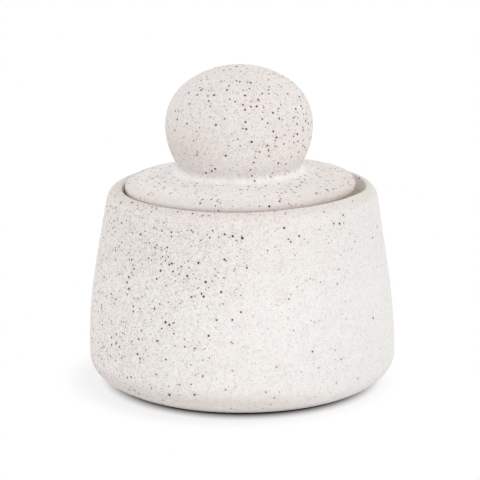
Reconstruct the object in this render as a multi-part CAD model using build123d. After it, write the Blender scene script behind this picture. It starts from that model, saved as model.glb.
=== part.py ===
from build123d import *
from math import acos, cos, degrees, radians, sin, sqrt, tan
import os

# A squat lidded jar of speckled stoneware, in millimetres, standing on z = 0 about the Z axis.
# Its lid drops inside the rim on to an inner ledge, and carries a large hollow ball as its knob.
# Angles are in degrees.

# Jar, outside
belly_diameter = 115.0      # the widest place, low down
belly_height = 10.1         # height of the widest place
jar_height = 73.2           # top of the rim
wall_lean = 9.5             # how far the straight part of the side leans in
wall_bow_radius = 199.0     # the gentle curve between the belly and the straight side
belly_corner_radius = 9.0   # the curve that turns the side under at the bottom
underside_slope = 28.6      # rise of the underside, from the foot out to the belly
rim_shoulder_radius = 5.3   # the soft rounding of the rim outside
rim_crest_radius = 1.0      # the tight rounding along its crest
crest_slope = 15.0          # slope of the shoulder where the crest takes over
mouth_flare = 10.0          # how far the mouth opens outwards above the ledge

# Jar, inside and foot
wall_thickness = 5.0
floor_thickness = 5.2
foot_ring_width = 5.5       # the flat ring that the jar stands on
foot_recess_depth = 1.2
foot_edge_radius = 0.5

# The ledge inside the mouth, on which the lid rests
ledge_depth = 5.0           # down from the top of the rim
ledge_width = 4.6           # how far it stands in from the mouth
ledge_nose_thickness = 2.5  # height of its upright edge
ledge_slope = 45.0          # its underside, down to the wall
ledge_blend_radius = 6.0
ledge_edge_radius = 0.8

# Lid
lid_gap = 1.7               # between the lid's edge and the foot of the mouth, all round
lid_edge_height = 7.2       # from the ledge up to where the edge would meet the dome
lid_edge_radius = 2.6       # upper edge
lid_lower_edge_radius = 1.0
lid_dome_radius = 210.0
lid_thickness = 5.0
flange_gap = 1.0            # between the locating flange and the ledge's upright edge
flange_depth = 5.0          # below the ledge
flange_thickness = 3.5
flange_edge_radius = 1.0
lid_inner_blend_radius = 2.5
vent_diameter = 5.0         # lets the air out of the hollow knob in the kiln

# Knob
knob_diameter = 54.7
knob_centre_rise = 17.3     # from its seat on the lid up to its widest place
knob_crown_rise = 22.0      # from its widest place up to its top
knob_shoulder_drop = 2.45   # the curve of its sides, carried on, would end this far under its top
knob_wall_thickness = 4.5
knob_fillet_radius = 2.4    # hollow curve of slip and glaze round its seat

# Sizes that follow
belly_radius = belly_diameter / 2
floor_top = foot_recess_depth + floor_thickness
seat_height = jar_height - ledge_depth
right_angle = 90.0


def outer_wall():
    """The jar's outline from the belly up over the rim and down through the mouth to the ledge."""
    bow = JernArc((belly_radius, belly_height), (0, 1), wall_bow_radius, wall_lean)
    crest_rise = rim_crest_radius * (1 - cos(radians(crest_slope)))
    shoulder_rise = rim_shoulder_radius * (cos(radians(crest_slope)) - sin(radians(wall_lean)))
    side_rise = jar_height - crest_rise - shoulder_rise - (bow @ 1).Y
    side = Line(bow @ 1, bow @ 1 + (bow % 1) * (side_rise / cos(radians(wall_lean))))
    shoulder_turn = right_angle - wall_lean - crest_slope
    shoulder = JernArc(side @ 1, side % 1, rim_shoulder_radius, shoulder_turn)
    crest_turn = crest_slope + right_angle - mouth_flare
    crest = JernArc(shoulder @ 1, shoulder % 1, rim_crest_radius, crest_turn)
    mouth_depth = (crest @ 1).Y - seat_height
    mouth = Line(crest @ 1, crest @ 1 + (crest % 1) * (mouth_depth / cos(radians(mouth_flare))))
    return [bow, side, shoulder, crest, mouth]


mouth_radius = (outer_wall()[-1] @ 1).X
ledge_radius = mouth_radius - ledge_width
lid_radius = mouth_radius - lid_gap
flange_radius = ledge_radius - flange_gap
flange_inner_radius = flange_radius - flange_thickness


def height_on(centre, radius, distance):
    """Height of a dome, with its centre on the axis, at a distance from the axis."""
    return centre + sqrt(radius**2 - distance**2)


# The lid's dome is laid through the upper corner of its edge
dome_centre = seat_height + lid_edge_height - sqrt(lid_dome_radius**2 - lid_radius**2)

# The knob is cut flat where it sits, and the lid has a flat pad of the same size under it
knob_radius = knob_diameter / 2
knob_side_radius = knob_crown_rise - knob_shoulder_drop
knob_seat_radius = sqrt(knob_radius**2 - knob_centre_rise**2)
knob_seat_height = height_on(dome_centre, lid_dome_radius, knob_seat_radius)
knob_centre = knob_seat_height + knob_centre_rise


def turned(outline):
    """Turn a closed outline, drawn with X as radius and Y as height, about the Z axis."""
    return revolve(Plane.XZ * outline, Axis.Z)


def rounded(outline, corner, radius):
    """Round the corner of an outline that lies nearest to a point."""
    return fillet(outline.vertices().sort_by_distance(corner)[0], radius)


def axis_arc(centre, radius, start, end):
    """Arc about a point on the axis, from one distance off the axis to another, above it."""
    middle = (start + end) / 2
    heights = [height_on(centre, radius, distance) for distance in (start, middle, end)]
    return ThreePointArc((start, heights[0]), (middle, heights[1]), (end, heights[2]))


def jar_body():
    wall = outer_wall()
    corner = JernArc(
        (belly_radius, belly_height), (0, -1), belly_corner_radius, underside_slope - right_angle
    )
    foot_radius = (corner @ 1).X - (corner @ 1).Y / tan(radians(underside_slope))
    ring_inner_radius = foot_radius - foot_ring_width
    underside = Line(corner @ 1, (foot_radius, 0))
    foot = Polyline(
        (foot_radius, 0),
        (ring_inner_radius, 0),
        (ring_inner_radius, foot_recess_depth),
        (0, foot_recess_depth),
    )
    # The inner wall runs parallel to the outer one, and turns into the floor below the belly
    inner_belly = (belly_radius - wall_thickness, belly_height)
    floor_corner = JernArc(inner_belly, (0, -1), belly_height - floor_top, -right_angle)
    floor = Polyline((0, foot_recess_depth), (0, floor_top), floor_corner @ 1)
    inner_bow = JernArc(inner_belly, (0, 1), wall_bow_radius - wall_thickness, wall_lean)
    nose_bottom = (ledge_radius, seat_height - ledge_nose_thickness)
    inner_side_full = Line(inner_bow @ 1, inner_bow @ 1 + (inner_bow % 1) * jar_height)
    slope_direction = (cos(radians(ledge_slope)), -sin(radians(ledge_slope)))
    ledge_underside = IntersectingLine(nose_bottom, slope_direction, inner_side_full)
    inner_side = Line(inner_bow @ 1, ledge_underside @ 1)
    ledge = Polyline(nose_bottom, (ledge_radius, seat_height), wall[-1] @ 1)
    outline = make_face(
        wall + [corner, underside, foot, floor, floor_corner, inner_bow, inner_side, ledge_underside, ledge]
    )
    outline = rounded(outline, (foot_radius, 0), foot_edge_radius)
    outline = rounded(outline, (ring_inner_radius, 0), foot_edge_radius)
    outline = rounded(outline, (ring_inner_radius, foot_recess_depth), foot_edge_radius)
    outline = rounded(outline, ledge_underside @ 1, ledge_blend_radius)
    for corner_point in (nose_bottom, (ledge_radius, seat_height), (mouth_radius, seat_height)):
        outline = rounded(outline, corner_point, ledge_edge_radius)
    return turned(outline)


def lid_body():
    vent_radius = vent_diameter / 2
    flange_bottom = seat_height - flange_depth
    ceiling_radius = lid_dome_radius - lid_thickness
    edge_top = seat_height + lid_edge_height
    pad = Line((vent_radius, knob_seat_height), (knob_seat_radius, knob_seat_height))
    dome = axis_arc(dome_centre, lid_dome_radius, knob_seat_radius, lid_radius)
    ceiling = axis_arc(dome_centre, ceiling_radius, flange_inner_radius, vent_radius)
    edge_and_flange = Polyline(
        dome @ 1,
        (lid_radius, seat_height),
        (flange_radius, seat_height),
        (flange_radius, flange_bottom),
        (flange_inner_radius, flange_bottom),
        ceiling @ 0,
    )
    vent = Line(ceiling @ 1, pad @ 0)
    outline = make_face([pad, dome, edge_and_flange, ceiling, vent])
    outline = rounded(outline, (lid_radius, edge_top), lid_edge_radius)
    outline = rounded(outline, (lid_radius, seat_height), lid_lower_edge_radius)
    outline = rounded(outline, (flange_radius, flange_bottom), flange_edge_radius)
    outline = rounded(outline, (flange_inner_radius, flange_bottom), flange_edge_radius)
    outline = rounded(outline, ceiling @ 0, lid_inner_blend_radius)
    return turned(outline)


def ball_profile(inset):
    """The knob's outline from its seat to its top, or the same line inset into the wall."""
    radius = knob_radius - inset
    side_radius = knob_side_radius - inset
    side_offset = knob_radius - knob_side_radius
    # The crown arc is centred on the axis and runs into the side arc without a corner
    reach = side_offset**2 - knob_side_radius**2 + knob_crown_rise**2
    crown_drop = reach / (2 * knob_shoulder_drop) - knob_crown_rise
    crown_radius = crown_drop + knob_crown_rise - inset
    meeting_angle = degrees(acos(side_offset / (crown_drop + knob_crown_rise - knob_side_radius)))
    seat_angle = degrees(acos(sqrt(radius**2 - knob_centre_rise**2) / radius))
    lower = CenterArc((0, knob_centre), radius, -seat_angle, seat_angle)
    side = CenterArc((side_offset, knob_centre), side_radius, 0, meeting_angle)
    crown = CenterArc((0, knob_centre - crown_drop), crown_radius, meeting_angle, right_angle - meeting_angle)
    return [lower, side, crown]


def knob_shell():
    outside = ball_profile(0)
    inside = ball_profile(knob_wall_thickness)
    foot = Line(inside[0] @ 0, outside[0] @ 0)
    top = Line(outside[-1] @ 1, inside[-1] @ 1)
    return turned(make_face(outside + inside + [foot, top]))


def knob_fillet():
    """The ring of slip and glaze that fills the corner between the ball and the lid."""
    to_ball = knob_radius + knob_fillet_radius
    to_dome = lid_dome_radius + knob_fillet_radius
    # Its hollow face is an arc that touches both, so its centre is a fixed way from both centres
    height = (to_dome**2 - to_ball**2 + knob_centre**2 - dome_centre**2) / (2 * (knob_centre - dome_centre))
    centre = Vector(sqrt(to_ball**2 - (height - knob_centre) ** 2), height)
    on_ball = centre + (Vector(0, knob_centre) - centre).normalized() * knob_fillet_radius
    on_dome = centre + (Vector(0, dome_centre) - centre).normalized() * knob_fillet_radius
    seat_edge = Vector(knob_seat_radius, knob_seat_height)
    hollow_middle = centre + (seat_edge - centre).normalized() * knob_fillet_radius
    ball_face = RadiusArc(seat_edge, on_ball, -knob_radius)
    hollow_face = ThreePointArc(on_ball, hollow_middle, on_dome)
    dome_face = axis_arc(dome_centre, lid_dome_radius, on_dome.X, knob_seat_radius)
    return turned(make_face([ball_face, hollow_face, dome_face]))


pieces = {
    "jar": jar_body(),
    "lid": lid_body(),
    "knob": knob_shell(),
    "knob_fillet": knob_fillet(),
}

os.makedirs("parts", exist_ok=True)
for name, piece in pieces.items():
    export_step(piece, f"parts/{name}.step")
    box = piece.bounding_box()
    print(name, "volume", round(piece.volume), "from", box.min, "to", box.max)
print("mouth radius", mouth_radius, "knob centre", knob_centre, "seat", knob_seat_radius, knob_seat_height)
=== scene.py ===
# %% [markdown]
# # A lidded stoneware jar with a ball knob
#
# The jar is a little wider than a hand. It is made in a brown clay, dipped in a matte off-white glaze,
# and fired so that iron grains in the clay bleed up through the glaze as dark specks.
#
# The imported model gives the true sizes. Here each piece is turned again to those sizes as a fine mesh,
# because a kiln leaves things that the drawing doesn't have: a rim that isn't quite level, a lid that
# sits a little off its centre, and a wall that isn't perfectly round. The whole jar with its lid stays
# inside the model's box.

# %% Load the model and keep its box
import bpy
from math import acos, atan2, cos, pi, radians, sin, sqrt, tan
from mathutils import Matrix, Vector, noise


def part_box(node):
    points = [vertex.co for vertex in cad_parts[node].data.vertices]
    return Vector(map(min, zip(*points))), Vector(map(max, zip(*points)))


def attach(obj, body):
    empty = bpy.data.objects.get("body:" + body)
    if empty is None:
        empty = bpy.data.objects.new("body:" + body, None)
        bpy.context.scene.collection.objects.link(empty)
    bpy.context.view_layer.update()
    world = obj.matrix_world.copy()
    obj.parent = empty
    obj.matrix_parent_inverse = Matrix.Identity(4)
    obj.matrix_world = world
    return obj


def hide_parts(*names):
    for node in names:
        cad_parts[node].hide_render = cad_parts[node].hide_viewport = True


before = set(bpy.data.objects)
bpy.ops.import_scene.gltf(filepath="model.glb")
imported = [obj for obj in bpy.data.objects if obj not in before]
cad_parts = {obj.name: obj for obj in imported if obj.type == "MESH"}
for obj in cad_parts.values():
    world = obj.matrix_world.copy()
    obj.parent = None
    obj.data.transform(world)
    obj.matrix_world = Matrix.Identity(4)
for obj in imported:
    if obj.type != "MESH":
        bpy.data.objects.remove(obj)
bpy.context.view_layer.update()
mm = 0.001

# %% [markdown]
# ## The camera
#
# The photograph was taken from about 14 degrees above the table, 0.8 m away, so that the rim is a flat
# oval and its far side is only a little smaller than its near side. The camera is placed at that
# angle and distance, and aimed at a point near the jar's axis. The jar stands a little right of the
# picture's middle, so the aim is moved left by as much.

# %% Camera
camera_elevation = radians(13.8)
camera_distance = 800 * mm
camera_lens = 160.4
camera_sensor = 36.0
aim_height = 52.0 * mm
aim_left = -0.85 * mm

aim = Vector((aim_left, 0, aim_height))
towards_camera = Vector((0, -cos(camera_elevation), sin(camera_elevation)))
lens = bpy.data.cameras.new("camera")
lens.lens = camera_lens
lens.sensor_width = camera_sensor
camera = bpy.data.objects.new("camera", lens)
camera.location = aim + towards_camera * camera_distance
camera.rotation_euler = (-towards_camera).to_track_quat("-Z", "Y").to_euler()
bpy.context.scene.collection.objects.link(camera)
bpy.context.scene.camera = camera
bpy.context.scene.view_settings.view_transform = "Standard"
print("camera at", list(camera.location))

# %% [markdown]
# ## Outlines
#
# Everything here is round, so each piece is half a cross-section turned about the Z axis. The outline
# is a list of corners, each with a distance from the axis, a height and the radius that rounds it,
# as a potter would dimension a template. An arc goes into each corner, with enough points that no
# facet shows in a close view. A subdivision surface could round the corners too, but then no radius
# would be a size that can be set.

# %% Outline helpers
arc_step = radians(9.0)
longest_step = 2.5 * mm
shortest_step = 0.01 * mm
fewest_steps = 2


def arc(centre, radius, start, end):
    """Points of an arc about a centre, from one angle to another."""
    turn = end - start
    count = max(fewest_steps, round(abs(turn) / arc_step), round(abs(turn) * radius / longest_step))
    angles = [start + turn * i / count for i in range(count + 1)]
    return [Vector((centre[0] + radius * cos(angle), centre[1] + radius * sin(angle))) for angle in angles]


def spaced(points):
    """The same outline with long straight runs divided, and doubled points left out."""
    kept = [points[0]]
    for point in points[1:]:
        start = kept[-1]
        run = point - start
        if run.length > shortest_step:
            count = max(1, round(run.length / longest_step))
            kept += [start + run * (i / count) for i in range(1, count + 1)]
    return kept


def corner_arc(before, here, after, radius):
    """The arc that rounds one corner of an outline."""
    corner = Vector(here)
    back = (Vector(before) - corner).normalized()
    onward = (Vector(after) - corner).normalized()
    half = acos(back.dot(onward)) / 2
    centre = corner + (back + onward).normalized() * (radius / sin(half))
    start = corner + back * (radius / tan(half)) - centre
    turn = pi - 2 * half
    first = atan2(start.y, start.x)
    return arc(centre, radius, first, first + (turn if back.cross(onward) < 0 else -turn))


def rounded_outline(corners):
    """An outline through corners given as distance from the axis, height and rounding radius."""
    points = [Vector(corners[0][:2])]
    for before, here, after in zip(corners, corners[1:], corners[2:]):
        points += corner_arc(before[:2], here[:2], after[:2], here[2]) if here[2] else [Vector(here[:2])]
    return spaced(points + [Vector(corners[-1][:2])])


# %% [markdown]
# ## Turning an outline into clay
#
# The outline is repeated round the axis and joined with four-sided faces. Blender's Screw modifier
# could turn it too, but here each vertex also passes through `settle`, a function that says how this
# piece moved in the kiln. A point on the axis is one shared vertex with a fan of triangles, so the
# mesh has no doubled points and closes properly. Faces look outwards when the outline runs
# anticlockwise, so one that runs the other way is turned round first.

# %% Turning helpers
turns = 256
axis_width = 0.001 * mm
sharp_corner = radians(40)


def anticlockwise(outline):
    """The outline, turned round if it runs clockwise."""
    area = sum(here.x * after.y - here.y * after.x for here, after in zip(outline, outline[1:] + outline[:1]))
    return outline if area > 0 else outline[::-1]


def ring(vertices, point, settle):
    """The vertices of one outline point all the way round, or its single vertex on the axis."""
    first = len(vertices)
    count = 1 if point.x < axis_width else turns
    for i in range(count):
        angle = 2 * pi * i / turns
        vertices.append(settle(Vector((point.x * cos(angle), point.x * sin(angle), point.y))))
    return [first + i % count for i in range(turns + 1)]


def turn_piece(name, outline, settle, closed=False):
    """Turn an outline about the Z axis into a smooth mesh."""
    vertices = []
    rings = [ring(vertices, point, settle) for point in anticlockwise(outline)]
    faces = []
    for low, high in zip(rings, rings[1:] + rings[:1] if closed else rings[1:]):
        for i in range(turns):
            face = [low[i], low[i + 1], high[i + 1], high[i]]
            faces.append(list(dict.fromkeys(face)))
    mesh = bpy.data.meshes.new(name)
    mesh.from_pydata(vertices, [], faces)
    mesh.polygons.foreach_set("use_smooth", [True] * len(faces))
    mesh.set_sharp_from_angle(angle=sharp_corner)
    piece = bpy.data.objects.new(name, mesh)
    bpy.context.scene.collection.objects.link(piece)
    print(name, "has", len(faces), "faces")
    return piece


# %% [markdown]
# ## The jar
#
# One pot, from the foot ring round the belly, up the leaning wall, over the soft rim and down inside
# to the ledge and the floor. Two of the corners are the belly's: a tight one below, where the side
# turns under, and a very wide one above it that gives the side its gentle bow.

# %% Jar sizes
jar_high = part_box("jar")[1]
jar_height = jar_high.z
belly_radius = jar_high.x
belly_height = 10.1 * mm
belly_corner_radius = 9.0 * mm
wall_lean = radians(9.5)
wall_bow_radius = 199 * mm
underside_slope = radians(28.6)
rim_shoulder_radius = 5.3 * mm
rim_crest_radius = 1.0 * mm
crest_slope = radians(15.0)
mouth_flare = radians(10.0)
wall_thickness = 5.0 * mm
floor_thickness = 5.2 * mm
foot_ring_width = 5.5 * mm
foot_recess_depth = 1.2 * mm
foot_edge_radius = 0.5 * mm
ledge_depth = 5.0 * mm
ledge_width = 4.6 * mm
ledge_nose_thickness = 2.5 * mm
ledge_blend_radius = 6.0 * mm
ledge_edge_radius = 0.8 * mm
seat_height = jar_height - ledge_depth
print("jar height", jar_height, "belly radius", belly_radius, "seat height", seat_height)

# %% [markdown]
# Most corners lie where two straight runs would meet, so each is worked out from the run's slope.
# The rim is two arcs that run into each other: a wide soft shoulder outside and a tight crest, from
# which the mouth narrows down to the ledge. The ledge is carried by a 45 degree slope, which meets the
# leaning inner wall where the two lines cross.

# %% Jar outline
under_corner_height = belly_height - belly_corner_radius * tan((pi / 2 - underside_slope) / 2)
foot_radius = belly_radius - under_corner_height / tan(underside_slope)
ring_inner_radius = foot_radius - foot_ring_width
bow_corner_height = belly_height + wall_bow_radius * tan(wall_lean / 2)
crest_height = jar_height - rim_crest_radius
shoulder_drop = (rim_shoulder_radius - rim_crest_radius) * cos(crest_slope)
shoulder_height = crest_height - shoulder_drop
side_top = shoulder_height + rim_shoulder_radius * sin(wall_lean)
side_top_radius = belly_radius - (side_top - bow_corner_height) * tan(wall_lean)
shoulder_radius = side_top_radius - rim_shoulder_radius * cos(wall_lean)
crest_radius = shoulder_radius + shoulder_drop * tan(crest_slope)
shoulder = arc((shoulder_radius, shoulder_height), rim_shoulder_radius, wall_lean, pi / 2 - crest_slope)
crest = arc((crest_radius, crest_height), rim_crest_radius, pi / 2 - crest_slope, pi - mouth_flare)
mouth_radius = crest[-1].x - (crest[-1].y - seat_height) * tan(mouth_flare)
ledge_radius = mouth_radius - ledge_width
floor_top = foot_recess_depth + floor_thickness
inner_radius = belly_radius - wall_thickness
inner_bow_radius = wall_bow_radius - wall_thickness
inner_bow_height = belly_height + inner_bow_radius * tan(wall_lean / 2)
nose_bottom = seat_height - ledge_nose_thickness
overhang = inner_radius + inner_bow_height * tan(wall_lean) - ledge_radius - nose_bottom
slope_height = overhang / (tan(wall_lean) - 1)
slope_radius = ledge_radius + nose_bottom - slope_height

outside_corners = [
    (0, foot_recess_depth, 0),
    (ring_inner_radius, foot_recess_depth, foot_edge_radius),
    (ring_inner_radius, 0, foot_edge_radius),
    (foot_radius, 0, foot_edge_radius),
    (belly_radius, under_corner_height, belly_corner_radius),
    (belly_radius, bow_corner_height, wall_bow_radius),
    (side_top_radius, side_top, 0),
]
inside_corners = [
    (*crest[-1], 0),
    (mouth_radius, seat_height, ledge_edge_radius),
    (ledge_radius, seat_height, ledge_edge_radius),
    (ledge_radius, nose_bottom, ledge_edge_radius),
    (slope_radius, slope_height, ledge_blend_radius),
    (inner_radius, inner_bow_height, inner_bow_radius),
    (inner_radius, floor_top, belly_height - floor_top),
    (0, floor_top, 0),
]
jar_outline = spaced(rounded_outline(outside_corners) + shoulder + crest + rounded_outline(inside_corners))
print("crest", crest_radius, "mouth", mouth_radius, "foot", foot_radius)

# %% [markdown]
# ## What the kiln did
#
# Measured on the photograph, the rim rises from left to right by 0.8 degrees in front and by less at
# the back, and the ledge inside it, with the lid and its knob, by 1.1 degrees. Such small leans are
# written as slopes. At the right, the front of the rim also swells up by most of a millimetre, and the
# underside of the belly is drawn up by half of that. The mouth opens a little right of the jar's axis
# and the lid sits a little left of it, so the gap round the lid is wide on one side and narrow on the
# other, and the wall bellies out to the left by a fraction of a millimetre.
#
# All this could be sculpted by hand, but then nobody could say how large it is. Here each change is a
# short sum on a vertex's place. Last, `noise` gives the clay a slow, wide wobble of about a tenth of a
# millimetre, which is what makes a highlight on hand-made clay swim instead of running straight.

# %% Sizes of the changes
rim_tilt_front = 0.0139
rim_tilt_back = 0.003
rim_front_lift = 0.8 * mm
lift_reach = 0.8
ledge_tilt = 0.02
underside_lift = 0.4 * mm
wall_bulge_left = 0.28 * mm
mouth_shift = 0.7 * mm
lid_shift = Vector((-0.66 * mm, 0, 0))
wobble_size = 0.13 * mm
wobble_length = 45 * mm
jar_wobble = Vector((3, 3, 3))
lid_wobble = Vector((7, 7, 7))
print("the rim rises", 2 * crest_radius * rim_tilt_front, "m from left to right in front")

# %% Settling functions
def share(value, start, end):
    """How far a value has come from a start, where the share is 0, to an end, where it is 1."""
    return min(1.0, max(0.0, (value - start) / (end - start)))


def wobble(point, seed):
    """A slow unevenness of the radius, always inwards so that the piece keeps its true size."""
    swing = noise.noise(point / wobble_length + seed)
    inwards = Vector((point.x, point.y, 0)).normalized() * (swing - 1) / 2
    return point + inwards * wobble_size


def settle_jar(point):
    """The jar keeps its base level, its rim leans, its ledge leans more, and its mouth is off centre."""
    outward = sqrt(point.x**2 + point.y**2)
    rise = share(point.z, belly_height, seat_height)
    inwards = share(outward, crest_radius, mouth_radius)
    on_rim = share(outward, crest_radius + rim_shoulder_radius / 2, crest_radius)
    off_ledge = share(outward, ledge_radius, mouth_radius)
    above_nose = share(point.z, nose_bottom, seat_height)
    rim_tilt = rim_tilt_front + (rim_tilt_back - rim_tilt_front) * share(point.y, -crest_radius, crest_radius)
    tilt = rim_tilt + (ledge_tilt - rim_tilt) * inwards
    drawn_up = sin(pi * share(point.z, 0, belly_height)) * share(point.x, belly_radius / 3, belly_radius)
    in_front = share(-point.y, 0, crest_radius / 2)
    lift = share(point.x, 0, crest_radius * lift_reach) * in_front * (1 - inwards)
    moved = wobble(point, jar_wobble)
    moved.z += tilt * point.x * rise + underside_lift * drawn_up + rim_front_lift * lift * rise
    moved.x += mouth_shift * on_rim * off_ledge * above_nose - wall_bulge_left * sin(pi * rise)
    return moved


def settle_lid(point):
    """The lid leans with the ledge that it lies on."""
    moved = wobble(point, lid_wobble)
    above = moved.z - seat_height
    leaning_x = moved.x * cos(ledge_tilt) - above * sin(ledge_tilt)
    leaning_z = seat_height + above * cos(ledge_tilt) + moved.x * sin(ledge_tilt)
    return Vector((leaning_x, moved.y, leaning_z)) + lid_shift


# %% Turn the jar
jar = turn_piece("stoneware_jar", jar_outline, settle_jar)
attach(jar, "jar")
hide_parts("jar")

# %% [markdown]
# ## The lid
#
# A disc with a gently domed top that drops inside the rim. Its edge is a full round roll, and under
# the roll a narrower neck stands on the ledge. Below the neck a flange drops inside the ledge and
# keeps the lid from sliding. The dome is an arc about a point far down on the axis, the roll is a
# small arc that touches it from inside, and the neck begins where a straight run on from the end of
# the roll meets it. A bevel on a plain disc would be quicker, but it couldn't undercut the edge.

# %% Lid sizes
lid_low, lid_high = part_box("lid")
knob_low, knob_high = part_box("knob")
lid_radius = lid_high.x
lid_edge_height = 7.2 * mm
lid_edge_radius = 2.6 * mm
lid_roll_end = radians(-65)
lid_neck_play = 0.2 * mm
lid_neck_edge_radius = 0.4 * mm
lid_neck_corner_radius = 0.3 * mm
lid_dome_radius = 210 * mm
lid_thickness = 5.0 * mm
lid_inner_blend_radius = 2.5 * mm
flange_gap = 1.0 * mm
flange_thickness = 3.5 * mm
flange_edge_radius = 1.0 * mm
vent_radius = 2.5 * mm
knob_radius = knob_high.x
knob_centre_rise = 17.3 * mm
knob_seat_height = knob_low.z
knob_centre = knob_seat_height + knob_centre_rise
knob_seat_radius = sqrt(knob_radius**2 - knob_centre_rise**2)
dome_centre = seat_height + lid_edge_height - sqrt(lid_dome_radius**2 - lid_radius**2)
print("lid radius", lid_radius, "knob radius", knob_radius, "dome centre", dome_centre)


# %% Dome lines
def dome_point(distance, depth=0.0):
    """A point of the lid's dome, or of the parallel ceiling under it."""
    return Vector((distance, dome_centre + sqrt((lid_dome_radius - depth) ** 2 - distance**2)))


def dome_arc(start, end, depth=0.0):
    """The dome's line from one distance off the axis to another."""
    first, last = dome_point(start, depth), dome_point(end, depth)
    angles = [atan2(point.y - dome_centre, point.x) for point in (first, last)]
    return arc((0, dome_centre), lid_dome_radius - depth, *angles)


# %% Lid outline
edge_centre_radius = lid_radius - lid_edge_radius
edge_centre_rise = sqrt((lid_dome_radius - lid_edge_radius) ** 2 - edge_centre_radius**2)
edge_centre = (edge_centre_radius, dome_centre + edge_centre_rise)
edge_start = atan2(edge_centre_rise, edge_centre_radius)
edge_roll = arc(edge_centre, lid_edge_radius, edge_start, lid_roll_end)
neck_radius = ledge_radius + ledge_edge_radius + lid_neck_play
neck_top = edge_roll[-1].y - (edge_roll[-1].x - neck_radius) / tan(-lid_roll_end)
flange_bottom = lid_low.z
flange_radius = ledge_radius - flange_gap
flange_inner_radius = flange_radius - flange_thickness
ceiling_edge_radius = flange_inner_radius - 2 * lid_inner_blend_radius
lower_corners = [
    (*edge_roll[-1], 0),
    (neck_radius, neck_top, lid_neck_corner_radius),
    (neck_radius, seat_height, lid_neck_edge_radius),
    (flange_radius, seat_height, 0),
    (flange_radius, flange_bottom, flange_edge_radius),
    (flange_inner_radius, flange_bottom, flange_edge_radius),
    (*dome_point(flange_inner_radius, lid_thickness), lid_inner_blend_radius),
    (*dome_point(ceiling_edge_radius, lid_thickness), 0),
]
lid_top = dome_arc(knob_seat_radius, edge_roll[0].x)
lid_ceiling = dome_arc(ceiling_edge_radius, vent_radius, lid_thickness)
vent_top = Vector((vent_radius, knob_seat_height))
lid_outline = spaced(lid_top + edge_roll + rounded_outline(lower_corners) + lid_ceiling + [vent_top])
print("lid outline has", len(lid_outline), "points, neck radius", neck_radius)

# %% Turn the lid
lid = turn_piece("domed_lid", lid_outline, settle_lid, closed=True)
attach(lid, "lid")
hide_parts("lid")

# %% [markdown]
# ## The knob
#
# A hollow ball, a little flattened on top. Its lower half is part of a sphere that is cut flat where
# it sits. Above its widest place a tighter arc turns inwards, and a flatter one closes the crown. A
# scaled sphere would be flattened below as well, where the real ball is round.

# %% Knob sizes
knob_crown_rise = knob_high.z - knob_centre
knob_shoulder_drop = 2.45 * mm
knob_wall_thickness = 4.5 * mm
side_radius = knob_crown_rise - knob_shoulder_drop
side_offset = knob_radius - side_radius
reach = side_offset**2 - side_radius**2 + knob_crown_rise**2
crown_drop = reach / (2 * knob_shoulder_drop) - knob_crown_rise
crown_angle = acos(side_offset / (crown_drop + knob_crown_rise - side_radius))
print("knob side radius", side_radius, "crown radius", crown_drop + knob_crown_rise)


# %% Knob outline
def ball_outline(inset):
    """The ball's line from its seat up to its top, set in by a wall or not."""
    radius = knob_radius - inset
    cut_angle = acos(sqrt(radius**2 - knob_centre_rise**2) / radius)
    lower = arc((0, knob_centre), radius, -cut_angle, 0)
    side = arc((side_offset, knob_centre), side_radius - inset, 0, crown_angle)
    crown_radius = crown_drop + knob_crown_rise - inset
    crown = arc((0, knob_centre - crown_drop), crown_radius, crown_angle, pi / 2)
    crown[-1].x = 0
    return spaced(lower + side + crown)


# %% Turn the knob
knob_outline = ball_outline(knob_wall_thickness)[::-1] + ball_outline(0)
knob = turn_piece("ball_knob", knob_outline, settle_lid)
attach(knob, "lid")
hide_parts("knob")

# %% [markdown]
# ## The fillet under the knob
#
# Slip is worked into the corner between ball and lid with a wet finger, and glaze pools there, so the
# corner is a smooth hollow ring, whiter than the rest. That white is partly the pooled glaze and partly
# painted light on the ring's upward-facing lower part. It is a piece of its own, which lets it have
# its own finish. Its arc touches both the ball and the dome, so its centre is one fillet radius
# outside both.

# %% Fillet outline
fillet_radius = 2.4 * mm
to_ball = knob_radius + fillet_radius
to_dome = lid_dome_radius + fillet_radius
centres_apart = knob_centre - dome_centre
fillet_rise = (to_dome**2 - to_ball**2 + centres_apart**2) / (2 * centres_apart)
fillet_centre = Vector((sqrt(to_dome**2 - fillet_rise**2), dome_centre + fillet_rise))
ball_angle = atan2(knob_centre - fillet_centre.y, -fillet_centre.x)
dome_angle = atan2(dome_centre - fillet_centre.y, -fillet_centre.x) + 2 * pi
hollow_arc = arc(fillet_centre, fillet_radius, ball_angle, dome_angle)
seat_angle = atan2(-knob_centre_rise, knob_seat_radius)
touch_angle = atan2(hollow_arc[0].y - knob_centre, hollow_arc[0].x)
under_ball = arc((0, knob_centre), knob_radius, seat_angle, touch_angle)
on_dome = dome_arc(hollow_arc[-1].x, knob_seat_radius)
fillet_outline = spaced(under_ball + hollow_arc + on_dome[:-1])
print("fillet touches the dome", hollow_arc[-1].x, "and the ball", hollow_arc[0].x, "from the axis")

# %% Turn the fillet
fillet = turn_piece("glaze_fillet", fillet_outline, settle_lid, closed=True)
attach(fillet, "lid")
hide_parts("knob_fillet")

# %% [markdown]
# ## Shader sums
#
# A glaze is described by sums on what the shader reads at each point: how high it is, how far from
# the axis, how near to the next iron grain. `Reading` wraps one socket, so that such a sum is written
# as plain Python and its Math nodes add themselves.

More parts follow.
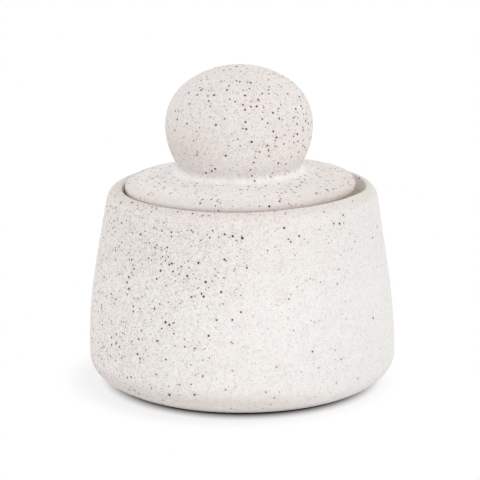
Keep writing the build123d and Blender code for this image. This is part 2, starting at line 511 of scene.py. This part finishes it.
# %% Readings
class Reading:
    """A value that a material reads at each point, with sums written as in Python."""

    def __init__(self, finish, socket):
        self.finish = finish
        self.socket = socket

    def output(self, name):
        """Another output of the same node."""
        return Reading(self.finish, self.socket.node.outputs[name])

    def __add__(self, other):
        return self.finish.sum("ADD", self, other)

    def __radd__(self, other):
        return self.finish.sum("ADD", other, self)

    def __sub__(self, other):
        return self.finish.sum("SUBTRACT", self, other)

    def __rsub__(self, other):
        return self.finish.sum("SUBTRACT", other, self)

    def __mul__(self, other):
        return self.finish.sum("MULTIPLY", self, other)

    def __rmul__(self, other):
        return self.finish.sum("MULTIPLY", other, self)

    def __pow__(self, other):
        return self.finish.sum("POWER", self, other)

    def __rpow__(self, other):
        return self.finish.sum("POWER", other, self)


# %% [markdown]
# `Finish` holds a tree of nodes and has one method that adds any node: its type, then its settings,
# then what goes into its sockets, which is a plain value or a reading.

# %% Finishes
class Finish:
    """A tree of shader nodes, for a material or for the world."""

    def __init__(self, owner):
        owner.use_nodes = True
        self.owner = owner
        self.tree = owner.node_tree
        self.tree.nodes.clear()

    def node(self, kind, settings=None, sockets=None, output=0):
        """Add a node, set it up, fill its sockets with values or links, and read one output."""
        node = self.tree.nodes.new(kind)
        for name, value in (settings or {}).items():
            setattr(node, name, value)
        for name, value in (sockets or {}).items():
            if isinstance(value, Reading):
                self.tree.links.new(value.socket, node.inputs[name])
            else:
                node.inputs[name].default_value = value
        return Reading(self, node.outputs[output]) if node.outputs else node

    def sum(self, operation, first, second):
        """One Math node on two values, either of which may be a plain number."""
        return self.node("ShaderNodeMath", {"operation": operation}, {0: first, 1: second})


# %% [markdown]
# Four small helpers say the rest of what the glazes need. `paint` writes a colour as a screen shows
# it, `ramp` goes softly from 0 to 1 between two values, `blend` mixes two colours, and `clouds` is a
# patchy noise of a given size in real millimetres. The Mix node has a set of sockets for each kind of
# value, and the four numbers named first are the ones that it uses for colours.

# %% Shader helpers
mix_amount, mix_from, mix_to, mix_result = 0, 6, 7, 2


def paint(red, green, blue):
    """A colour given as it looks on a screen, from 0 to 255, for the shader, by the sRGB formula."""
    parts = [channel / 255 for channel in (red, green, blue)]
    return [part / 12.92 if part < 0.04045 else ((part + 0.055) / 1.055) ** 2.4 for part in parts] + [1.0]


def ramp(value, start, end):
    """From 0 at the start value to 1 at the end value, softly; the end may be the lower one."""
    sockets = {"Value": value, "From Min": start, "From Max": end}
    return value.finish.node("ShaderNodeMapRange", {"interpolation_type": "SMOOTHSTEP"}, sockets)


def blend(amount, start, end):
    """A colour between two others."""
    settings = {"data_type": "RGBA"}
    sockets = {mix_amount: amount, mix_from: start, mix_to: end}
    return amount.finish.node("ShaderNodeMix", settings, sockets, mix_result)


def clouds(place, size, detail=2.0):
    """A soft noise between 0 and 1 with patches of a real size."""
    sockets = {"Vector": place, "Scale": 1 / size, "Detail": detail}
    return place.finish.node("ShaderNodeTexNoise", {}, sockets)


# %% [markdown]
# ## Reading the surface
#
# What a glaze does at a point depends on where that point is: how far right, how high, how far from
# the axis, and how thick a coat the dipping left there. It could be painted by hand on an unwrapped
# mesh, but reading the place keeps every mark at its real size. `Spot` reads these once for each
# material, and the glazes below are written as sums on them. The lid and the ledge lean, so `level`
# takes that lean off the height again, and their seat is at one level all round. `from_mouth` is
# measured from the middle of the mouth, which is a little to the right of the jar's axis.

# %% Spots
patch_size = 16 * mm
cluster_size = 8 * mm


class Spot:
    """One point of a glazed surface."""

    def __init__(self, finish):
        self.place = finish.node("ShaderNodeTexCoord", {}, {}, "Object")
        split = finish.node("ShaderNodeSeparateXYZ", {}, {"Vector": self.place})
        self.across, self.along, self.height = split, split.output("Y"), split.output("Z")
        self.outward = (self.across * self.across + self.along * self.along) ** 0.5
        self.level = self.height - ledge_tilt * self.across
        off_mouth = self.across - mouth_shift
        self.from_mouth = (off_mouth * off_mouth + self.along * self.along) ** 0.5
        self.patch = clouds(self.place, patch_size)
        self.cluster = clouds(self.place, cluster_size)


# %% [markdown]
# ## Iron specks
#
# Each grain of iron in the clay is a small lump somewhere near the surface, and the speck that shows
# is where the surface cuts it. A Voronoi texture has one point in each of its cells, and its distance
# from that point, less than the grain's radius, is exactly such a lump. The cell's colour is three
# random numbers, used for whether the grain is there at all, how large it is, and how dark. Iron also
# bleeds into the glaze round it, so each speck has a faint warm halo.

# %% Speck helper
smallest_speck = 0.55
halo_reach = 3.2


def specks(place, cell, radius, filled, softness):
    """Grains of iron: how much each covers the surface here, its halo, and a number for its tint."""
    finish = place.finish
    distance = finish.node("ShaderNodeTexVoronoi", {"feature": "F1"}, {"Vector": place, "Scale": 1 / cell})
    chance = finish.node("ShaderNodeSeparateColor", {}, {"Color": distance.output("Color")})
    size = radius / cell * (smallest_speck + (1 - smallest_speck) * chance.output("Green"))
    there = finish.sum("LESS_THAN", chance, filled)
    grain = ramp(distance, size * (1 + softness), size * (1 - softness)) * there
    halo = ramp(distance, size * halo_reach, size) * there
    return grain, halo, chance.output("Blue")


# %% [markdown]
# The cells of that texture lie in rows, and where a wall runs along a row the specks would line up as
# in print. So the place that they read is turned to an odd angle first, and moved by a seed. A fine
# noise also pushes it about a little, so that no speck is a perfect disc.

# %% Speck places
unevenness = 0.22 * mm
unevenness_size = 0.6 * mm
noise_middle = (0.5, 0.5, 0.5)
speck_turn = Vector((radians(40), radians(23), radians(52)))
speck_seed = Vector((0.31, 0.07, 0.19))


def speck_place(place):
    """Where the specks are read: the place, turned, pushed about a little, and moved by a seed."""
    finish = place.finish
    sockets = {"Vector": place, "Scale": 1 / unevenness_size}
    push = finish.node("ShaderNodeTexNoise", {}, sockets, "Color")
    centred = finish.node("ShaderNodeVectorMath", {"operation": "SUBTRACT"}, {0: push, 1: noise_middle})
    small = finish.node("ShaderNodeVectorMath", {"operation": "SCALE"}, {0: centred, "Scale": unevenness})
    rotation = {"rotation_type": "EULER_XYZ"}
    turned = finish.node("ShaderNodeVectorRotate", rotation, {"Vector": place, "Rotation": speck_turn})
    moved = finish.node("ShaderNodeVectorMath", {"operation": "ADD"}, {0: turned, 1: small})
    return finish.node("ShaderNodeVectorMath", {"operation": "ADD"}, {0: moved, 1: speck_seed})


# %% [markdown]
# ## The speckled glaze
#
# From the inside out: a matte off-white glaze that is whiter where it is thick and tanner where it is
# thin, faint warm and cool patches, a fine grain, four sizes of speck from dust to large and rare, and
# a few places wiped down to the brown clay, so that the jar doesn't stick to the kiln shelf and the
# lid doesn't stick to the jar. The bare foot ring is painted near black, partly its clay and partly
# painted shadow where it meets the table. The colours were chosen by measure until the render agreed
# with the photograph, so each is a little lighter than it looks under this light.

# %% Glaze colours
thick_glaze = paint(254, 251, 248)
thin_glaze = paint(228, 216, 209)
rim_glaze = paint(230, 221, 205)
# Painted light: a near-white that lightens the shaded inner wall of the mouth.
mouth_painted_light = paint(255, 255, 245)
# Painted shade: a darker tan for the low part of the lid's edge, next to the gap at the rim.
lid_edge_painted_shade = paint(206, 193, 184)
# A near-white for pooled glaze; on the fillet it is partly painted light, where its lower part faces up.
pooled_glaze_and_painted_light = paint(255, 255, 252)
warm_glaze = paint(243, 232, 229)
cool_glaze = paint(228, 231, 229)
# Painted shade: a cool grey for the ball's underside just above the fillet.
knob_painted_shade = paint(230, 227, 232)
grain_colour = paint(202, 196, 192)
halo_colour = paint(226, 209, 203)
# Painted shadow: a near-black for the bare foot ring, partly its brown clay and partly the shadow where it
# meets the table.
bare_clay_and_painted_shadow = paint(34, 23, 19)
wiped_clay = paint(188, 175, 158)
dark_iron = paint(38, 21, 16)
brown_iron = paint(128, 86, 70)
print("thick glaze is", thick_glaze)

# %% [markdown]
# A range here is a start and an end for `ramp`. Each size of speck has its cell, its radius, the part
# of the cells that hold one, how soft its edge is and how strong its colour. Each piece's own function
# below raises or lowers that part from place to place.

# %% Grain and speck sizes
grain_size = 0.44 * mm
coarse_grain_size = 1.2 * mm
fine_grain_part = 0.65
grain_range = (0.46, 0.62)
grain_strength = 0.36
dusty_grain_strength = 0.28
grain_roughness = 0.1
tint_size = 4.5 * mm
warm_range = (0.48, 0.72)
warm_strength = 0.32
cool_range = (0.5, 0.72)
cool_strength = 0.2
relief_height = 0.09 * mm
relief_strength = 0.7
gloss_level = 0.35
cluster_range = (0.36, 0.64)
fewest_clustered = 0.5
halo_strength = 0.25
large_speck_gloss = 0.1
wiped_strength = 0.85
dust_specks = (0.8 * mm, 0.20 * mm, 0.65, 0.5, 0.6)
fine_specks = (1.1 * mm, 0.29 * mm, 0.2, 0.4, 0.85)
bold_specks = (1.8 * mm, 0.46 * mm, 0.5, 0.2, 1.0)
large_specks = (3.2 * mm, 0.54 * mm, 0.36, 0.15, 1.0)

# %% [markdown]
# One function makes every glaze. Each piece gives it functions for the colour of its coat, for how
# its dust and its bold specks crowd, for where the glaze is wiped off, and for the bare foot ring,
# which is painted near black as painted shadow. The grain also stands up a hair, which breaks up the
# shine. The large specks come last in the loop, and their mask makes them a little glossier.

# %% The glaze
def glaze(name, coat, crowd, wiped=None, bare_and_shaded=None, roughness=0.6):
    """A glaze, from functions that give its colour, its dust and bold specks, and where it is wiped."""
    finish = Finish(bpy.data.materials.new(name))
    spot = Spot(finish)
    tints = finish.node("ShaderNodeTexNoise", {}, {"Vector": spot.place, "Scale": 1 / tint_size}, "Color")
    tint = finish.node("ShaderNodeSeparateColor", {}, {"Color": tints})
    coarse = clouds(spot.place, coarse_grain_size)
    grain = fine_grain_part * clouds(spot.place, grain_size) + (1 - fine_grain_part) * coarse
    dust, bold = crowd(spot)
    clustered = fewest_clustered + ramp(spot.cluster, *cluster_range)
    grain_shown = grain_strength + dusty_grain_strength * dust

    colour = coat(spot)
    colour = blend(warm_strength * ramp(tint, *warm_range), colour, warm_glaze)
    colour = blend(cool_strength * ramp(tint.output("Green"), *cool_range), colour, cool_glaze)
    colour = blend(grain_shown * ramp(grain, *grain_range), colour, grain_colour)

    place = speck_place(spot.place)
    crowded = [
        (dust_specks, dust),
        (fine_specks, dust * clustered),
        (bold_specks, bold * clustered),
        (large_specks, bold * clustered),
    ]
    for (cell, radius, filled, softness, strength), crowding in crowded:
        speck, halo, tint_chance = specks(place, cell, radius, filled * crowding, softness)
        iron = blend(tint_chance * tint_chance, dark_iron, brown_iron)
        colour = blend(halo_strength * strength * halo, colour, halo_colour)
        colour = blend(strength * speck, colour, iron)
    gloss = large_speck_gloss * speck
    if wiped:
        colour = blend(wiped_strength * wiped(spot), colour, wiped_clay)
    if bare_and_shaded:
        colour = blend(bare_and_shaded(spot), colour, bare_clay_and_painted_shadow)

    bump = {"Height": grain, "Strength": relief_strength, "Distance": relief_height}
    sockets = {
        "Base Color": colour,
        "Roughness": roughness + grain_roughness * (grain - 0.5) - gloss,
        "Specular IOR Level": gloss_level,
        "Normal": finish.node("ShaderNodeBump", {}, bump),
    }
    surface = finish.node("ShaderNodeBsdfPrincipled", {}, sockets)
    finish.node("ShaderNodeOutputMaterial", {}, {"Surface": surface})
    print(name, "has", len(finish.tree.nodes), "nodes")
    return finish.owner


# %% [markdown]
# ## The jar's glaze
#
# The jar was held by its rim and dipped foot first, so the glaze drained down: it is thin towards the
# rim, and thick and white low on the wall. It is yellower on the crest at both sides, where fingers
# held it and left few bold specks, and a shade cooler on the right. It is a little darker towards the
# left, partly a thinner glaze and partly painted shade on the side away from the lamp. The shaded
# inner wall of the mouth is made lighter, as painted light. Under the belly the glaze is made darker,
# as painted shade, and just above the foot it is made white, as painted light, both less so at the
# right. The specks crowd on the left and thin out to the lower right. The foot ring is bare brown
# clay, painted near black as painted shadow where it meets the table, a hair wider on the right,
# and the ledge's seat was wiped, so that only a stain is left on it.
#
# In the sums below, each weight is how much of its mask is used, out of 1.

# %% Places on the jar
mouth_top_radius = crest[-1].x
wall_range = (jar_height / 2, seat_height)
# Partly painted shade: the glaze is made a little darker towards the left, away from the lamp.
left_thin_and_shade_range = (10 * mm, -50 * mm)
right_range = (5 * mm, 50 * mm)
held_range = ((25 * mm) ** 2, (46 * mm) ** 2)
crest_range = (seat_height + 2 * mm, jar_height)
held_crest_range = (jar_height - 4 * mm, jar_height)
# Painted light: the band above the ledge where the mouth's shaded inner wall is made lighter.
mouth_light_range = (seat_height, seat_height + 1 * mm)
# Painted shade: where the underside of the belly is made darker, less at the right.
belly_shade_range = (belly_height * 1.2, belly_height / 3)
belly_shade_left_range = (36 * mm, 2 * mm)
# Painted light: where the wall just above the foot is made white, less at the right.
foot_light_range = (8 * mm, 1.5 * mm)
foot_light_left_range = (45 * mm, 0)
crowd_slant = 0.5
crowd_range = (8 * mm, -45 * mm)
# The foot line bounds the bare ring that is painted near black as its contact shadow.
foot_line = 0.8 * mm
foot_line_slant = 0.009
seat_play = 0.15 * mm
soft_edge = 0.1 * mm


# %% The jar's coat
def held_sides(spot):
    """Where fingers held the rim, at its left and its right."""
    return ramp(spot.across * spot.across, *held_range)


def jar_coat(spot):
    """The coat's thickness, then the held crest, the mouth's painted light, the cool right, the painted shade
    under the belly and the painted light above the foot.
    """
    upper = ramp(spot.height, *wall_range)
    left = ramp(spot.across, *left_thin_and_shade_range)
    # Partly thinner glaze and partly painted shade, a little darker towards the left.
    top = ramp(spot.height, *crest_range)
    # Painted light on the shaded inner wall of the mouth.
    lit_mouth = ramp(spot.from_mouth, crest_radius, mouth_top_radius) * ramp(spot.level, *mouth_light_range)
    # Painted shade under the belly, weaker to the right.
    under = ramp(spot.height, *belly_shade_range) * ramp(spot.across, *belly_shade_left_range)
    # Painted light just above the foot, weaker to the right.
    foot_light = ramp(spot.height, *foot_light_range) * ramp(spot.across, *foot_light_left_range)
    thinness = 0.05 + 0.2 * upper + 0.04 * left + 0.38 * top + 0.1 * (spot.patch - 0.5)
    colour = blend(thinness, thick_glaze, thin_glaze)
    colour = blend(0.7 * held_sides(spot) * top, colour, rim_glaze)
    colour = blend(0.9 * lit_mouth, colour, mouth_painted_light)
    colour = blend(0.36 * ramp(spot.across, *right_range), colour, cool_glaze)
    colour = blend(under, colour, thin_glaze)
    return blend(foot_light, colour, thick_glaze)


# %% The jar's specks and bare places
def jar_crowd(spot):
    """Specks crowd to the left, further across higher up, and are few on the held crest."""
    slant = spot.across - crowd_slant * (spot.height - jar_height / 2)
    upper = ramp(spot.height, *wall_range)
    held_crest = held_sides(spot) * ramp(spot.height, *held_crest_range)
    bold = (0.08 + 0.1 * upper + 0.9 * ramp(slant, *crowd_range)) * (1 - 0.7 * held_crest)
    return bold**0.8, bold


def foot_clay_and_shadow(spot):
    """The bare foot ring, painted near black as painted shadow where it meets the table, up to a line that
    slants a little.
    """
    return ramp(spot.height - foot_line_slant * spot.across, foot_line + soft_edge, foot_line)


def jar_seat(spot):
    """The wiped seat on the ledge."""
    on_ledge = ramp(spot.outward, ledge_radius, ledge_radius + ledge_edge_radius)
    in_mouth = ramp(spot.from_mouth, mouth_radius + seat_play, mouth_radius)
    under = ramp(spot.level, seat_height + 2 * seat_play, seat_height + seat_play)
    above = ramp(spot.level, seat_height - 2 * seat_play, seat_height - seat_play)
    return on_ledge * in_mouth * under * above


jar.data.materials.append(glaze("speckled_jar_glaze", jar_coat, jar_crowd, wiped=jar_seat, bare_and_shaded=foot_clay_and_shadow))

# %% [markdown]
# ## The lid's glaze
#
# The lid's glaze is thinner to the right and over its rounded edge, and low on the edge, next to the
# gap at the rim, it is made darker as painted shade. It has run together a little round the knob.
# Specks are fewer in front. Its underside is wiped where it lies on the ledge.

# %% The lid's glaze
fillet_outer_radius = hollow_arc[-1].x
run_width = 6 * mm
lid_right_range = (0, 40 * mm)
lid_front_range = (15 * mm, 35 * mm)
lid_edge_range = (lid_radius - 2 * lid_edge_radius, lid_radius)
lid_edge_shade_range = (jar_height + 0.4 * mm, jar_height - 1.4 * mm)


def lid_front(spot):
    """From the knob towards the front edge."""
    return ramp(-1 * spot.along, *lid_front_range)


def lid_coat(spot):
    """The coat's thickness, then the painted shade low on the edge and the run round the knob."""
    edge = ramp(spot.outward, *lid_edge_range)
    right = ramp(spot.across, *lid_right_range)
    thinness = 0.42 * right + 0.45 * edge + 0.08 * lid_front(spot) + 0.1 * (spot.patch - 0.5)
    run = ramp(spot.outward, fillet_outer_radius + run_width, fillet_outer_radius)
    # Painted shade low on the edge, where it meets the gap at the rim.
    low = edge * ramp(spot.level, *lid_edge_shade_range)
    colour = blend(0.3 * low, blend(thinness, thick_glaze, thin_glaze), lid_edge_painted_shade)
    return blend(0.8 * run, colour, pooled_glaze_and_painted_light)


def lid_crowd(spot):
    """Bold specks crowd, and both kinds are fewer in front."""
    front = lid_front(spot)
    return 0.4 - 0.2 * front, 1.3 - 0.6 * front


def lid_seat(spot):
    """The wiped ring outside the flange, which lies on the ledge."""
    under = ramp(spot.level, seat_height + 2 * seat_play, seat_height + seat_play)
    return under * ramp(spot.outward, flange_radius, flange_radius + flange_edge_radius)


lid.data.materials.append(glaze("speckled_lid_glaze", lid_coat, lid_crowd, wiped=lid_seat))

# %% [markdown]
# ## The knob's glaze and the fillet's
#
# The knob was dipped last, and its glaze is tanner and darker low on its left. Just above the fillet
# its underside is made a cool grey, as painted shade. The iron shows most on its upper right. Low
# down the glaze ran off the ball into the corner, so the fillet is the knob's own glaze at its top and
# turns white towards the lid, where the pool is deepest and almost free of specks. That white is
# partly the pooled glaze and partly painted light on the fillet's upward-facing lower part.

# %% The knob's glaze
knob_low_range = (knob_centre + 5 * mm, knob_centre - 10 * mm)
knob_left_range = (-3 * mm, -24 * mm)
knob_shade_range = (knob_seat_height + 10 * mm, knob_seat_height + 4 * mm)
knob_crowd_slant = 1.2
knob_crowd_range = (-4 * mm, 20 * mm)


def knob_coat(spot):
    """The coat's thickness, then the painted shade of a cool grey on the ball's underside just above the
    fillet.
    """
    low = ramp(spot.height, *knob_low_range)
    left = ramp(spot.across, *knob_left_range)
    thinness = 0.4 + 0.65 * low * left - 0.1 * low + 0.15 * (spot.patch - 0.5)
    # Painted shade on the ball's underside, just above the fillet.
    shaded_bottom = ramp(spot.height, *knob_shade_range)
    return blend(0.6 * shaded_bottom, blend(thinness, thick_glaze, thin_glaze), knob_painted_shade)


def knob_crowd(spot):
    """Even dust, and bold specks that crowd on the upper right."""
    slant = spot.across + knob_crowd_slant * (spot.height - knob_centre)
    return 0.65, 0.5 + ramp(slant, *knob_crowd_range)


knob.data.materials.append(glaze("speckled_knob_glaze", knob_coat, knob_crowd))

# %% The fillet's glaze
pool_and_light_range = (hollow_arc[0].y - 0.7 * mm, hollow_arc[-1].y + 0.8 * mm)
pool_roughness = 0.45


def pool_and_painted_light(spot):
    """How deep the glaze stands, from the fillet's top down to its foot, which also sets the painted light on
    its lower part.
    """
    return ramp(spot.level, *pool_and_light_range)


def fillet_coat(spot):
    """The knob's own coat, whiter where the glaze is pooled, which is partly painted light on the fillet's
    upward-facing lower part.
    """
    thinness = 0.55 + 0.1 * spot.patch
    # The white is partly pooled glaze and partly painted light on the upward-facing lower fillet.
    return blend(pool_and_painted_light(spot), blend(thinness, thick_glaze, thin_glaze), pooled_glaze_and_painted_light)


def fillet_crowd(spot):
    """Specks drown in the pool."""
    crowd = 0.6 - 0.5 * pool_and_painted_light(spot)
    return crowd, crowd


fillet_glaze = glaze("pooled_and_painted_light_fillet_glaze", fillet_coat, fillet_crowd, roughness=pool_roughness)
fillet.data.materials.append(fillet_glaze)

# %% [markdown]
# ## The studio
#
# The jar stands on a white table under soft white light. A plain white world, a little dimmer
# overhead, lights it from all round, and one large soft lamp in front, above and to the right makes
# that side a little brighter. A pale object needs a white surround, but lamps strong enough to turn
# the surround white would also wash out the glaze. So the world and the table have one look for the
# light that falls on the jar, and another for the camera, a mirror or clear glass, in which all is
# plain white but the jar's shadow.

# %% What is seen
def seen_directly(finish):
    """1 for the camera, a mirror or clear glass, and 0 for the light that falls on things."""
    ray = finish.node("ShaderNodeLightPath", {}, {}, "Is Camera Ray")
    mirrored = finish.sum("MAXIMUM", ray.output("Is Glossy Ray"), ray.output("Is Transmission Ray"))
    return finish.sum("MAXIMUM", ray, mirrored)


# %% World
horizon_light = 1.0
zenith_light = 0.86
plain_white = (1, 1, 1, 1)
world = bpy.data.worlds.new("white_room")
bpy.context.scene.world = world
room = Finish(world)
direction = room.node("ShaderNodeTexCoord", {}, {}, "Generated")
upward = room.node("ShaderNodeSeparateXYZ", {}, {"Vector": direction}, "Z")
strength = horizon_light - (horizon_light - zenith_light) * upward
lit = room.node("ShaderNodeBackground", {}, {"Color": plain_white, "Strength": strength})
white = room.node("ShaderNodeBackground", {}, {"Color": plain_white, "Strength": 1.0})
room_shader = room.node("ShaderNodeMixShader", {}, {0: seen_directly(room), 1: lit, 2: white})
room.node("ShaderNodeOutputWorld", {}, {"Surface": room_shader})
print("world light", horizon_light, "at the horizon and", zenith_light, "overhead")

# %% Lamp
lamp_power = 1.17
lamp_place = Vector((800 * mm, -800 * mm, 450 * mm))
lamp_size = 600 * mm
lamp_data = bpy.data.lights.new("soft_lamp", "AREA")
lamp_data.shape = "DISK"
lamp_data.size = lamp_size
lamp_data.energy = lamp_power
lamp = bpy.data.objects.new("soft_lamp", lamp_data)
lamp.location = lamp_place
lamp.rotation_euler = (aim - lamp_place).to_track_quat("-Z", "Y").to_euler()
bpy.context.scene.collection.objects.link(lamp)
print("lamp is", lamp_place.length, "m from the jar's foot")

# %% Table
table_half = 2000 * mm
table_mesh = bpy.data.meshes.new("table")
table_corners = [(x * table_half, y * table_half, 0) for x, y in ((-1, -1), (1, -1), (1, 1), (-1, 1))]
table_mesh.from_pydata(table_corners, [], [(0, 1, 2, 3)])
table = bpy.data.objects.new("table", table_mesh)
bpy.context.scene.collection.objects.link(table)
print("table is", 2 * table_half, "m across")

# %% [markdown]
# The shadow that the camera sees is the table's real one, deepened as painted shadow: the camera sees
# a darker paper than the one that sends light up under the jar. Its fade to plain white is painted by
# distance from the foot, in two steps: most of it within a few millimetres of the foot, and a last
# faint grey that reaches a finger's width further. Both reach a little further in front, and the grey
# reaches most to the left, away from the lamp.

# %% Table paper
near_centre = Vector((-0.5 * mm, -3.8 * mm, 0))
near_start = foot_radius - 4.2 * mm
near_end = foot_radius + 4.8 * mm
near_part = 0.86
far_centre = Vector((-5 * mm, -3 * mm, 0))
far_start = foot_radius + 2 * mm
far_end = foot_radius + 16 * mm
paper_lit = (0.90, 0.90, 0.90, 1)
paper_shaded = (0.30, 0.265, 0.25, 1)
paper = Finish(bpy.data.materials.new("white_paper"))
table_place = paper.node("ShaderNodeTexCoord", {}, {}, "Object")


def whitening(centre, start, end):
    """How far the shadow has given way to white, from its distance to a centre on the table."""
    distance = {"operation": "DISTANCE"}
    outward = paper.node("ShaderNodeVectorMath", distance, {0: table_place, 1: centre}, "Value")
    return ramp(outward, start, end)


near = whitening(near_centre, near_start, near_end)
far = whitening(far_centre, far_start, far_end)
glow = near_part * near + (1 - near_part) * far
bright_paper = paper.node("ShaderNodeBsdfDiffuse", {}, {"Color": paper_lit})
# Painted shadow: the darker paper that the camera sees near the jar.
painted_shadow_paper = paper.node("ShaderNodeBsdfDiffuse", {}, {"Color": paper_shaded})
own_white = paper.node("ShaderNodeEmission", {}, {"Color": plain_white, "Strength": 1.0})
seen_paper = paper.node("ShaderNodeMixShader", {}, {0: glow, 1: painted_shadow_paper, 2: own_white})
paper_mix = {0: seen_directly(paper), 1: bright_paper, 2: seen_paper}
paper_shader = paper.node("ShaderNodeMixShader", {}, paper_mix)
paper.node("ShaderNodeOutputMaterial", {}, {"Surface": paper_shader})
table_mesh.materials.append(paper.owner)
print("shadow gives way to white from", near_start, "to", far_end)
